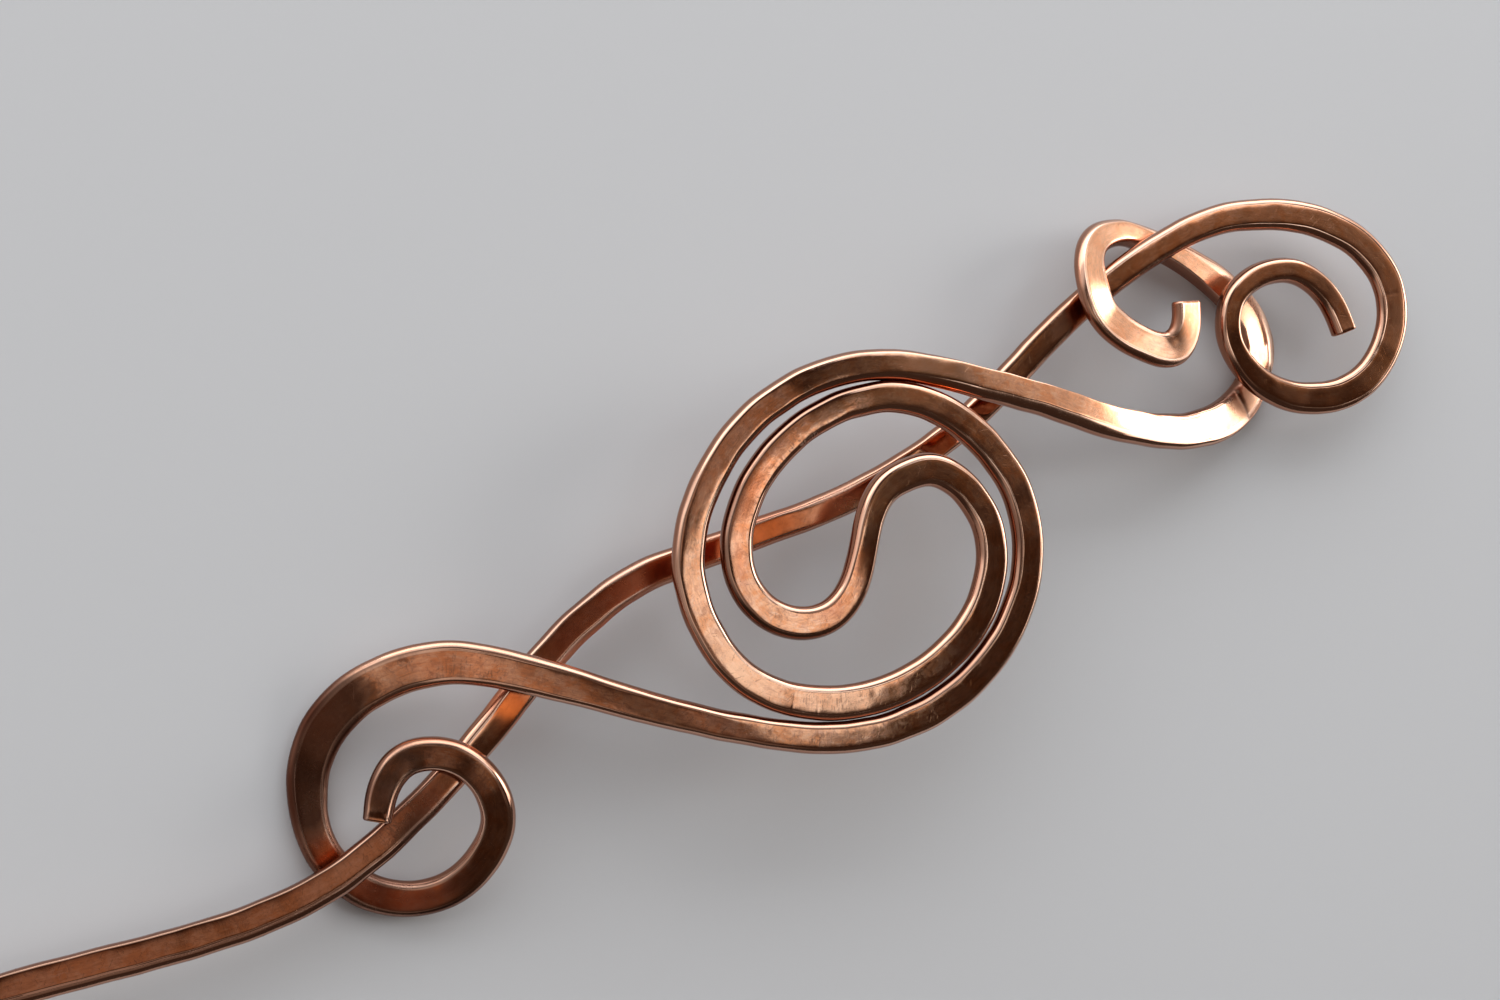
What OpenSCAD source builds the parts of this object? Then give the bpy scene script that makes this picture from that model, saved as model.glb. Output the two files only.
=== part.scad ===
// Hair slide: an arched frame bent from one flattened copper wire, with a
// double spiral in the middle and a curl at each end, and a wavy stick that
// passes through it. Millimetres, +Z up, the frame stands on z = 0.

/* [Frame] */
// height of the underside of the frame at the middle of its arch
arch_height = 9.2; // [6:0.1:12]
// diameter of the round wire that the frame was flattened from
frame_wire_d = 2.4; // [2:0.1:3]
// share of the wire's width that is flat, the rest is rounded sides
flat_share = 0.63; // [0.5:0.01:0.8]

/* [Stick] */
// height of the middle of the stick above the ground
stick_z = 4.4; // [3.5:0.1:6]
// diameter of the round wire that the stick was flattened from
stick_wire_d = 2.3; // [2:0.1:3]
// width left at the stick's free end
tip_width = 1.4; // [1:0.1:2.5]

/* [Colours] */
// polished copper
copper = [0.72, 0.40, 0.26]; // [0:0.01:1]

/* [Hidden] */

frame_steps = 4;   // rings between two rows of a frame table
stick_steps = 3;   // rings between two rows of a stick table
edge_cut = 0.25;   // softened edge at a cut end

// from the middle of the spiral, where the tables are measured from, to the
// middle of the whole slide
spiral_place = [9.2, 0.3, 0];

// how far the arch has dropped at a distance from the middle: [distance, drop]
arch = [[0, 0], [10, 0.2], [18, 0.7], [30, 2.6], [36, 4.3], [42, 6.2], [47, 8], [51, 9.18], [70, 9.18]];

// how far the faces of the right curl lean outwards as well: [x, fall]
right_lean = [[43, 0], [50, 0.2], [58, 0.25]];

// Every table follows the wire. Its rows pull the wire towards them, so they
// stand a little outside each bend. Columns: [x, y, lift above the arch, width]

// left curl, from its inner end over the stick and round to the top
left_curl = [
    [-49.3,  2.2, 5.4, 2.5], [-47.4,  4.4, 4.6, 2.8], [-45,    5.5, 3.7, 3.0],
    [-42,    4.5, 2.8, 3.0], [-40,    2,   2.3, 3.0], [-39.5, -1.5, 2.2, 3.0],
    [-40.5, -4.6, 1.5, 3.1], [-43.5, -6.8, 0.4, 3.2], [-47,   -7.7, 0,   3.2],
    [-50.5, -6.1, 0,   3.2], [-53,   -3.5, 0,   3.2], [-54.3,  0.5, 0,   3.1],
    [-53.8,  4,   0,   3.2], [-52.2,  7.4, 0,   3.6], [-49.4, 10.3, 0,   4.1],
    [-45.5, 11.9, 0,   4.0], [-41,   11.8, 0.3, 3.8], [-37,   10.5, 0.8, 3.7]];

// left wave, from the left curl down to the bottom of the spiral
left_wave = [
    [-33.5,  7.5, 0.4, 3.4], [-29.5,  3.5, 0,   3.1], [-25,   -1.5, 0,   2.8],
    [-20.5, -6,   0,   2.6], [-15.5, -10.5, 0,  2.7], [-10.5, -14,  0,   2.8]];

// outer turn of the spiral, from the bottom round the right side to the top
outer_turn_right = [
    [-5,   -16,   0, 2.9], [ 0.5, -16.5, 0, 3.0], [ 6,   -15.5, 0, 3.0],
    [11,   -13,   0, 3.0], [15,    -9,   0, 3.0], [17,    -3.5, 0, 3.1],
    [16.3,   1.9, 0, 3.1], [14,     7,   0, 3.0]];

// inner turn, from the top round the left side to the small bend
inner_turn_left = [
    [ 9.9,  10.8, 0, 2.8], [ 4.5, 12.4, 0, 2.8], [-1,   12.4, 0, 2.9],
    [-6.5,  10.5, 0, 2.9], [-10.4, 7,   0, 2.9], [-11.8, 3.5, 0, 2.9]];

// the S in the middle, from the left bend to the right bend
s_bend = [
    [-11.4, -0.4, 0, 3.0], [-8.5, -3.4, 0, 3.0], [-5,   -3.9, 0, 2.9],
    [-2.1,  -2.4, 0, 2.8], [ 0.4,  0.6, 0, 2.6], [ 3.5,  3.5, 0, 2.8],
    [ 6.5,   3.8, 0, 3.0], [10,    3,   0, 3.0], [12,    0,   0, 3.0]];

// inner turn, from the small bend round the right side to the bottom
inner_turn_right = [
    [12.5, -4,   0, 3.0], [11,   -8,    0, 3.0], [ 7,  -11.5, 0, 3.1],
    [ 2,  -13,   0, 3.1], [-3.5, -13,   0, 3.1], [-8.5, -11.5, 0, 3.1]];

// outer turn, from the bottom round the left side to the top
outer_turn_left = [
    [-13,  -8.5, 0, 3.0], [-16,  -4.5, 0, 2.9], [-16.9, 0.5, 0, 2.9],
    [-16,   6,   0, 2.9], [-13.4, 10,  0, 2.9], [-9,   13.4, 0, 2.8],
    [-4,   15.5, 0, 2.7], [ 1.5, 16,   0, 2.7], [ 7,   15.1, 0, 2.7]];

// right wave, from the top of the spiral down to the right curl
right_wave = [
    [12.1, 12.7, 0, 2.7], [16.5,  9,  0, 2.9], [21,    5,   0, 3.0],
    [25,    1.5, 0, 3.0], [28.9, -2.6, 0, 3.2], [33.5, -6,  0, 3.4],
    [38.5, -9,   0, 3.7]];

// right curl, from the wave round and over the stick to its inner end
right_curl = [
    [44,  -10.5, 0,   4.1], [49.4, -10,   0.1, 4.2], [53.6, -6.6, 0.4, 3.9],
    [54.2, -2.8, 0.4, 3.4], [52.2,  2.5,  0.4, 3.0], [48.9,  7,   0.2, 2.6],
    [45.6, 10.5, -0.8, 2.5], [41.5, 12.6, -0.6, 2.8], [37.5, 12.3, 0.3, 3.4],
    [35.4,  9,   1.0, 3.9], [34.9,  5.5,  0.7, 4.0], [37,    2,   1.2, 3.7],
    [40,   -1.2, 2.2, 3.6], [42.7,  0.2,  3.2, 3.6], [43.8,  2.6, 3.8, 3.7]];

// Stick. Columns: [x, y, width]
// curl at the stick's head, from its inner end
stick_curl = [
    [60.5,  -9,   2.6], [61,    -6,   2.7], [60,   -2.5, 2.6], [57.5,  0,   2.5],
    [54,     0.9, 2.5], [50.5,   0.5, 2.5], [48,   -2,   2.5], [47.5, -5.5, 2.6],
    [49,    -9.5, 2.9], [52,   -12.5, 3.2], [56,  -14.5, 3.3], [60.5, -15,  3.3],
    [65,   -13,   3.4], [68,    -9.5, 3.5], [68.5, -5,   3.5], [66.5, -0.5, 3.4],
    [62.5,   3.5, 3.3], [58,     6,   3.2]];

// shaft, from the curl to the free end
stick_shaft = [
    [53,   8,   3.0], [48,   8.5, 2.9], [42.5, 8.5, 2.9], [36,   7.9, 2.9],
    [30,   6.8, 3.0], [24,   5.2, 3.0], [18,   3.8, 2.9], [12,   3.3, 2.8],
    [6,    3.4, 2.7], [0,    4,   2.7], [-6,   5.4, 2.7], [-12,  6.4, 2.8],
    [-18,  7.9, 2.9], [-24,  7.3, 3.0], [-30,  5.8, 3.0], [-36,  3.4, 2.9],
    [-42,  1.4, 2.8], [-48,  0,   2.9], [-54, -1,   2.9], [-60, -0.5, 2.9],
    [-66,  1,   2.9], [-72,  3,   2.9], [-78,  5.1, 3.0], [-83.5, 6.9, 2.8],
    [-88,  7.5, tip_width]];

// thickness of a round wire of diameter d once it is hammered to width w, and
// filed thinner where it narrows to a point
fill = flat_share + (1 - flat_share) * 2 / 3;
function thick(d, w) = min(PI * d * d / 4 / (w * fill), 0.8 * w);

// height of the arch's underside, and how steeply it falls outwards
function arch_z(x) = arch_height - lookup(abs(x), arch);
function arch_fall(x) = sign(x) * (lookup(abs(x) + 1.5, arch) - lookup(max(abs(x) - 1.5, 0), arch)) / 3;

function face_fall(x) = arch_fall(x) + lookup(x, right_lean);

// smooth curve pulled by the rows of a table
function weights(t) = [pow(1 - t, 3), 3 * pow(t, 3) - 6 * t * t + 4, -3 * pow(t, 3) + 3 * t * t + 3 * t + 1, pow(t, 3)] / 6;
function padded(p) = concat([2 * p[0] - p[1]], p, [2 * p[len(p) - 1] - p[len(p) - 2]]);
function curve(p, steps) =
    let (q = padded(p), n = len(p) - 1)
    [for (i = [0 : n * steps])
        let (k = min(floor(i / steps), n - 1), w = weights(i / steps - k))
        w[0] * q[k] + w[1] * q[k + 1] + w[2] * q[k + 2] + w[3] * q[k + 3]];

function unit(v) = v / norm(v);

// one ring of the flattened wire: flat top and bottom, rounded sides
function section(w, t) =
    let (f = flat_share * w / 2, b = w / 2 - f, r = (t * t / 4 + b * b) / (2 * b), h = t / 4,
         s = w / 2 - r + sqrt(r * r - h * h))
    [[f, t / 2], [s, h], [w / 2, 0], [s, -h], [f, -t / 2],
     [-f, -t / 2], [-s, -h], [-w / 2, 0], [-s, h], [-f, t / 2]];

// rows of the swept wire: [x, y, underside z, width, x-fall of the face]
module flat_wire(rows, d) {
    mid = [for (r = rows) spiral_place + [r[0], r[1], r[2] + thick(d, r[3]) / 2]];
    n = len(rows);
    run = [for (i = [0 : n - 1]) unit(mid[min(i + 1, n - 1)] - mid[max(i - 1, 0)])];
    up = [for (i = [0 : n - 1])
        let (u = [rows[i][4], 0, 1]) unit(u - (u * run[i]) * run[i])];
    side = [for (i = [0 : n - 1]) cross(run[i], up[i])];
    body = [for (i = [0 : n - 1])
        let (s = section(rows[i][3], thick(d, rows[i][3])))
        [for (p = s) mid[i] + side[i] * p[0] + up[i] * p[1]]];
    first = [for (p = section(rows[0][3] - edge_cut, thick(d, rows[0][3]) - edge_cut))
        mid[0] - run[0] * edge_cut + side[0] * p[0] + up[0] * p[1]];
    last = [for (p = section(rows[n - 1][3] - edge_cut, thick(d, rows[n - 1][3]) - edge_cut))
        mid[n - 1] + run[n - 1] * edge_cut + side[n - 1] * p[0] + up[n - 1] * p[1]];
    rings = concat([first], body, [last]);
    m = len(rings);
    k = len(rings[0]);
    points = [for (r = rings) for (p = r) p];
    faces = concat(
        [[for (j = [0 : k - 1]) j]],
        [for (i = [0 : m - 2]) for (j = [0 : k - 1]) [i * k + j, (i + 1) * k + j, i * k + (j + 1) % k]],
        [for (i = [0 : m - 2]) for (j = [0 : k - 1]) [(i + 1) * k + j, (i + 1) * k + (j + 1) % k, i * k + (j + 1) % k]],
        [[for (j = [k - 1 : -1 : 0]) (m - 1) * k + j]]);
    polyhedron(points = points, faces = faces, convexity = 10);
}

module spiral_frame() {
    table = concat(left_curl, left_wave, outer_turn_right, inner_turn_left, s_bend,
                   inner_turn_right, outer_turn_left, right_wave, right_curl);
    rows = curve([for (r = table) [r[0], r[1], arch_z(r[0]) + r[2], r[3], face_fall(r[0])]], frame_steps);
    color(copper) flat_wire(rows, frame_wire_d);
}

module hair_stick() {
    table = concat(stick_curl, stick_shaft);
    rows = [for (r = curve(table, stick_steps)) [r[0], r[1], stick_z - thick(stick_wire_d, 2.8) / 2, r[2], 0]];
    color(copper) flat_wire(rows, stick_wire_d);
}

spiral_frame();
hair_stick();
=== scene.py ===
"""Looks of a hair slide: two flattened, hammered copper wires on a pale floor. Metres, +Z up."""
import math

import bpy
import numpy as np
from mathutils import Matrix, Vector


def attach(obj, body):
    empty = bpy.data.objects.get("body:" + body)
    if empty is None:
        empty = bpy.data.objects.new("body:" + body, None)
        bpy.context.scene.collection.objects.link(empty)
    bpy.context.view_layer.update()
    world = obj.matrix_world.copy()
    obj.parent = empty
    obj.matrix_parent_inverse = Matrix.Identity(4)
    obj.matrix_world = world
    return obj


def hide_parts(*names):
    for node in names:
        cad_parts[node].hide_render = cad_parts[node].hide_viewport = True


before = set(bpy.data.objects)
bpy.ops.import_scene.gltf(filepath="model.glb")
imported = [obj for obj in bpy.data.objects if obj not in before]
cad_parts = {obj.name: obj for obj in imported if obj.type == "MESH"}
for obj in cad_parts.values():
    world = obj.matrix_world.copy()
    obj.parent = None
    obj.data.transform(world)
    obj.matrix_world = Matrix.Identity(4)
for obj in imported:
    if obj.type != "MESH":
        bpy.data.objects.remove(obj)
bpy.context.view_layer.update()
MM = 0.001

# ---------------------------------------------------------------- camera
# stands nearly over the slide, turned so that the stick runs to the lower left
cam_data = bpy.data.cameras.new("camera")
cam_data.lens = 50.4
cam_data.sensor_width = 36
cam_data.clip_start, cam_data.clip_end = 0.01, 50
cam = bpy.data.objects.new("camera", cam_data)
bpy.context.scene.collection.objects.link(cam)
cam_right = Vector((0.805, -0.4802, 0.3485))
cam_up = Vector((0.4952, 0.8673, 0.0512))
cam_back = Vector((-0.3269, 0.1314, 0.9359))
cam_turn = Matrix((cam_right, cam_up, cam_back)).transposed().to_4x4()
cam.matrix_world = Matrix.Translation(Vector((-59.39, 34.11, 185.53)) * MM) @ cam_turn
bpy.context.scene.camera = cam

# ---------------------------------------------------------------- routes
# the same sizes and tables as the construction, in millimetres from the middle of the spiral
arch_height = 9.2
frame_wire_d = 2.4
flat_share = 0.63
stick_z = 4.4
stick_wire_d = 2.3
tip_width = 1.4
spiral_place = np.array([9.2, 0.3, 0.0])
arch = np.array([[0, 0], [10, 0.2], [18, 0.7], [30, 2.6], [36, 4.3], [42, 6.2], [47, 8], [51, 9.18], [70, 9.18]])
right_lean = np.array([[43, 0], [50, 0.2], [58, 0.25]])

left_curl = [
    [-49.3, 2.2, 5.4, 2.5], [-47.4, 4.4, 4.6, 2.8], [-45, 5.5, 3.7, 3.0],
    [-42, 4.5, 2.8, 3.0], [-40, 2, 2.3, 3.0], [-39.5, -1.5, 2.2, 3.0],
    [-40.5, -4.6, 1.5, 3.1], [-43.5, -6.8, 0.4, 3.2], [-47, -7.7, 0, 3.2],
    [-50.5, -6.1, 0, 3.2], [-53, -3.5, 0, 3.2], [-54.3, 0.5, 0, 3.1],
    [-53.8, 4, 0, 3.2], [-52.2, 7.4, 0, 3.6], [-49.4, 10.3, 0, 4.1],
    [-45.5, 11.9, 0, 4.0], [-41, 11.8, 0.3, 3.8], [-37, 10.5, 0.8, 3.7]]
left_wave = [
    [-33.5, 7.5, 0.4, 3.4], [-29.5, 3.5, 0, 3.1], [-25, -1.5, 0, 2.8],
    [-20.5, -6, 0, 2.6], [-15.5, -10.5, 0, 2.7], [-10.5, -14, 0, 2.8]]
outer_turn_right = [
    [-5, -16, 0, 2.9], [0.5, -16.5, 0, 3.0], [6, -15.5, 0, 3.0],
    [11, -13, 0, 3.0], [15, -9, 0, 3.0], [17, -3.5, 0, 3.1],
    [16.3, 1.9, 0, 3.1], [14, 7, 0, 3.0]]
inner_turn_left = [
    [9.9, 10.8, 0, 2.8], [4.5, 12.4, 0, 2.8], [-1, 12.4, 0, 2.9],
    [-6.5, 10.5, 0, 2.9], [-10.4, 7, 0, 2.9], [-11.8, 3.5, 0, 2.9]]
s_bend = [
    [-11.4, -0.4, 0, 3.0], [-8.5, -3.4, 0, 3.0], [-5, -3.9, 0, 2.9],
    [-2.1, -2.4, 0, 2.8], [0.4, 0.6, 0, 2.6], [3.5, 3.5, 0, 2.8],
    [6.5, 3.8, 0, 3.0], [10, 3, 0, 3.0], [12, 0, 0, 3.0]]
inner_turn_right = [
    [12.5, -4, 0, 3.0], [11, -8, 0, 3.0], [7, -11.5, 0, 3.1],
    [2, -13, 0, 3.1], [-3.5, -13, 0, 3.1], [-8.5, -11.5, 0, 3.1]]
outer_turn_left = [
    [-13, -8.5, 0, 3.0], [-16, -4.5, 0, 2.9], [-16.9, 0.5, 0, 2.9],
    [-16, 6, 0, 2.9], [-13.4, 10, 0, 2.9], [-9, 13.4, 0, 2.8],
    [-4, 15.5, 0, 2.7], [1.5, 16, 0, 2.7], [7, 15.1, 0, 2.7]]
right_wave = [
    [12.1, 12.7, 0, 2.7], [16.5, 9, 0, 2.9], [21, 5, 0, 3.0],
    [25, 1.5, 0, 3.0], [28.9, -2.6, 0, 3.2], [33.5, -6, 0, 3.4],
    [38.5, -9, 0, 3.7]]
right_curl = [
    [44, -10.5, 0, 4.1], [49.4, -10, 0.1, 4.2], [53.6, -6.6, 0.4, 3.9],
    [54.2, -2.8, 0.4, 3.4], [52.2, 2.5, 0.4, 3.0], [48.9, 7, 0.2, 2.6],
    [45.6, 10.5, -0.8, 2.5], [41.5, 12.6, -0.6, 2.8], [37.5, 12.3, 0.3, 3.4],
    [35.4, 9, 1.0, 3.9], [34.9, 5.5, 0.7, 4.0], [37, 2, 1.2, 3.7],
    [40, -1.2, 2.2, 3.6], [42.7, 0.2, 3.2, 3.6], [43.8, 2.6, 3.8, 3.7]]
stick_curl = [
    [60.5, -9, 2.6], [61, -6, 2.7], [60, -2.5, 2.6], [57.5, 0, 2.5],
    [54, 0.9, 2.5], [50.5, 0.5, 2.5], [48, -2, 2.5], [47.5, -5.5, 2.6],
    [49, -9.5, 2.9], [52, -12.5, 3.2], [56, -14.5, 3.3], [60.5, -15, 3.3],
    [65, -13, 3.4], [68, -9.5, 3.5], [68.5, -5, 3.5], [66.5, -0.5, 3.4],
    [62.5, 3.5, 3.3], [58, 6, 3.2]]
stick_shaft = [
    [53, 8, 3.0], [48, 8.5, 2.9], [42.5, 8.5, 2.9], [36, 7.9, 2.9],
    [30, 6.8, 3.0], [24, 5.2, 3.0], [18, 3.8, 2.9], [12, 3.3, 2.8],
    [6, 3.4, 2.7], [0, 4, 2.7], [-6, 5.4, 2.7], [-12, 6.4, 2.8],
    [-18, 7.9, 2.9], [-24, 7.3, 3.0], [-30, 5.8, 3.0], [-36, 3.4, 2.9],
    [-42, 1.4, 2.8], [-48, 0, 2.9], [-54, -1, 2.9], [-60, -0.5, 2.9],
    [-66, 1, 2.9], [-72, 3, 2.9], [-78, 5.1, 3.0], [-83.5, 6.9, 2.8],
    [-88, 7.5, tip_width]]

# how the hammered top rolls about the wire, in degrees, at rows counted along each wire:
# [row, roll], positive lifts the left edge of the travel from the first row to the last
frame_roll = [[0, 0], [31, 0], [33, 1], [36, 1], [37.5, 0], [40.8, 0], [41.8, 1.2], [43.5, 0], [56, 0], [57, -2.5], [60, -2.5], [62, 0], [71.6, 0], [73, -10], [74.4, -10], [75.4, 0], [83, 0]]
stick_roll = [[0, 0], [28.4, 0], [29.4, 2.5], [30.2, 2.5], [31, 7.5], [32.05, 8], [32.45, 0], [32.62, -1], [32.82, -1.6], [32.98, -5],
              [33.5, -5], [33.9, 4.5], [35.2, 7], [38, 9], [42, 9]]
# how the top alone slopes across the wire, in degrees at rows: positive lowers the right edge of the travel
frame_tilt = [[0, 0], [68.3, 0], [69.0, 9], [69.5, 9], [69.65, 15], [70.3, 15], [70.7, 1], [72.4, 1], [73, 0], [83, 0]]
stick_tilt = [[0, 0], [42, 0]]
# how far the flats lie off the middle of the wire, as a share of half their width, at rows
frame_lean = [[0, 0], [61.5, 0], [63, -0.28], [65, -0.5], [66, -0.5], [67, -0.33], [68, 0], [69.9, 0], [71.0, -0.5], [74.4, -0.5], [75.4, 0], [83, 0]]
# how much wider than the construction's section each wire was hammered, at rows
frame_swell = [[0, 1], [14, 1], [15.5, 1.06], [20, 1.06], [22, 1.05], [32, 1.05], [34, 1.03], [43, 1.02], [45, 1.05], [52, 1.05],
               [54, 1.02], [57, 1.03], [59, 1.09], [61, 1.09], [63.5, 1.05], [65, 1.04], [68, 1], [70, 1], [71.2, 1.1], [73, 1.1], [74.2, 1], [83, 1]]
# how far each wire was bent off the construction's line, in mm to the right of travel
frame_shift = [[0, 0], [69.9, 0], [70.8, -0.4], [71.4, -0.62], [72.4, -0.55], [73.4, -0.4], [74.4, -0.3], [75.6, 0], [83, 0]]
stick_shift = [[0, 0], [42, 0]]
stick_swell = [[0, 1.03], [12, 1.03], [24, 1], [26, 1.06], [33, 1.06], [34, 1.03], [42, 1.03]]
stick_lean = [[0, 0], [25.8, 0], [26.4, -0.2], [26.9, -0.2], [27.5, 0], [30.4, 0], [31.2, 0.12], [32.2, 0.12], [32.5, -0.1], [33.5, -0.1],
              [33.9, 0.1], [35.4, 0.18], [36.2, 0.28], [42, 0.28]]


def thickness(d, w):
    fill = flat_share + (1 - flat_share) * 2 / 3
    return np.minimum(math.pi * d * d / 4 / (w * fill), 0.8 * w)


def arch_z(x):
    return arch_height - np.interp(abs(x), arch[:, 0], arch[:, 1])


def face_fall(x):
    a = abs(x)
    drop = np.interp(a + 1.5, arch[:, 0], arch[:, 1]) - np.interp(max(a - 1.5, 0), arch[:, 0], arch[:, 1])
    return np.sign(x) * drop / 3 + np.interp(x, right_lean[:, 0], right_lean[:, 1])


def curve_at(rows, at):
    """uniform cubic B-spline pulled by the rows, at the row numbers in at"""
    p = np.array(rows, float)
    q = np.vstack([2 * p[0] - p[1], p, 2 * p[-1] - p[-2]])
    k = np.minimum(at.astype(int), len(p) - 2)
    t = (at - k)[:, None]
    w = [(1 - t) ** 3, 3 * t ** 3 - 6 * t * t + 4, -3 * t ** 3 + 3 * t * t + 3 * t + 1, t ** 3]
    return sum(w[i] * q[k + i] for i in range(4)) / 6


def waves(s, seed, length, turns=7):
    """smooth uneven line of unit size along s, built from sines near one wavelength"""
    r = np.random.RandomState(seed)
    total = np.zeros_like(s)
    for _ in range(turns):
        total += np.sin(2 * np.pi * (s / (length * (0.6 + 0.9 * r.rand())) + r.rand()))
    return total / math.sqrt(turns)


def unit(v):
    return v / np.linalg.norm(v, axis=-1, keepdims=True)


def bump_at(x, centre, half):
    return np.exp(-((x - centre) / half) ** 2)


# ---------------------------------------------------------------- the wire's own shape
TOP = [-1, -0.965, -0.9, -0.74, -0.5, -0.25, 0, 0.25, 0.5, 0.74, 0.9, 0.965, 1]
UNDER = [1, 0.95, 0.6, 0, -0.6, -0.95, -1]
SIDE = 9


def ring(w, t, share, lean=0.0):
    """points round one cut through the wire: flat top, rounded side, flat underside, rounded side.
    Returns six values for each point: across, up, distance round from the middle of the top, how flat it is, the worn
    rim of the flat, which is also painted lighter as a highlight line, and the painted shade of the lower sides and
    underside."""
    e = 0.08
    halves = []
    for way in (1, -1):
        f = min(share * w / 2 * (1 + way * lean), 0.48 * w)
        b = w / 2 - f
        r = (t * t / 4 + b * b) / (2 * b)
        halves.append((f, r, math.asin(min(1, t / 2 / r))))
    (fr, rr, ar), (fl, rl, al) = halves
    pts = []
    for a in TOP:
        x = a * ((fr if a > 0 else fl) - e)
        pts.append([x, t / 2 - 0.010 * abs(a) ** 6, x, 1.0, 0.6 if abs(a) == 1 else 0.0, 0.0])
    pts.append([fr + 0.004, t / 2 - 0.026, fr, 0.5, 1.0, 0.0])
    # the last value marks the lower part of each rounded side for painted shade
    for i in range(SIDE):
        g = ar * 0.95 * (1 - 2 * i / (SIDE - 1))
        underside_shade = min(1, max(0, (math.radians(52) - g) / math.radians(22)))
        pts.append([w / 2 - rr + rr * math.cos(g), rr * math.sin(g), fr + rr * (ar - g), 0.0, 0.6 if i == 0 else 0.0, underside_shade])
    # the underside and its corners are marked for painted shade as well
    pts.append([fr + 0.004, -t / 2 + 0.022, fr + 2 * rr * ar, 0.5, 0.6, 1.0])
    for a in UNDER:
        x = a * ((fr if a > 0 else fl) - e)
        pts.append([x, -t / 2 + 0.006 * abs(a) ** 6, 2 * fr + 2 * rr * ar - x, 1.0, 0.0, 0.6])
    pts.append([-fl - 0.004, -t / 2 + 0.022, -(fl + 2 * rl * al), 0.5, 0.6, 1.0])
    for i in range(SIDE):
        g = -al * 0.95 * (1 - 2 * i / (SIDE - 1))
        underside_shade = min(1, max(0, (math.radians(52) - g) / math.radians(22)))
        pts.append([-(w / 2 - rl + rl * math.cos(g)), rl * math.sin(g), -(fl + rl * (al - g)), 0.0, 0.6 if i == SIDE - 1 else 0.0, underside_shade])
    pts.append([-fl - 0.004, t / 2 - 0.026, -fl, 0.5, 1.0, 0.0])
    return np.array(pts)


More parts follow.
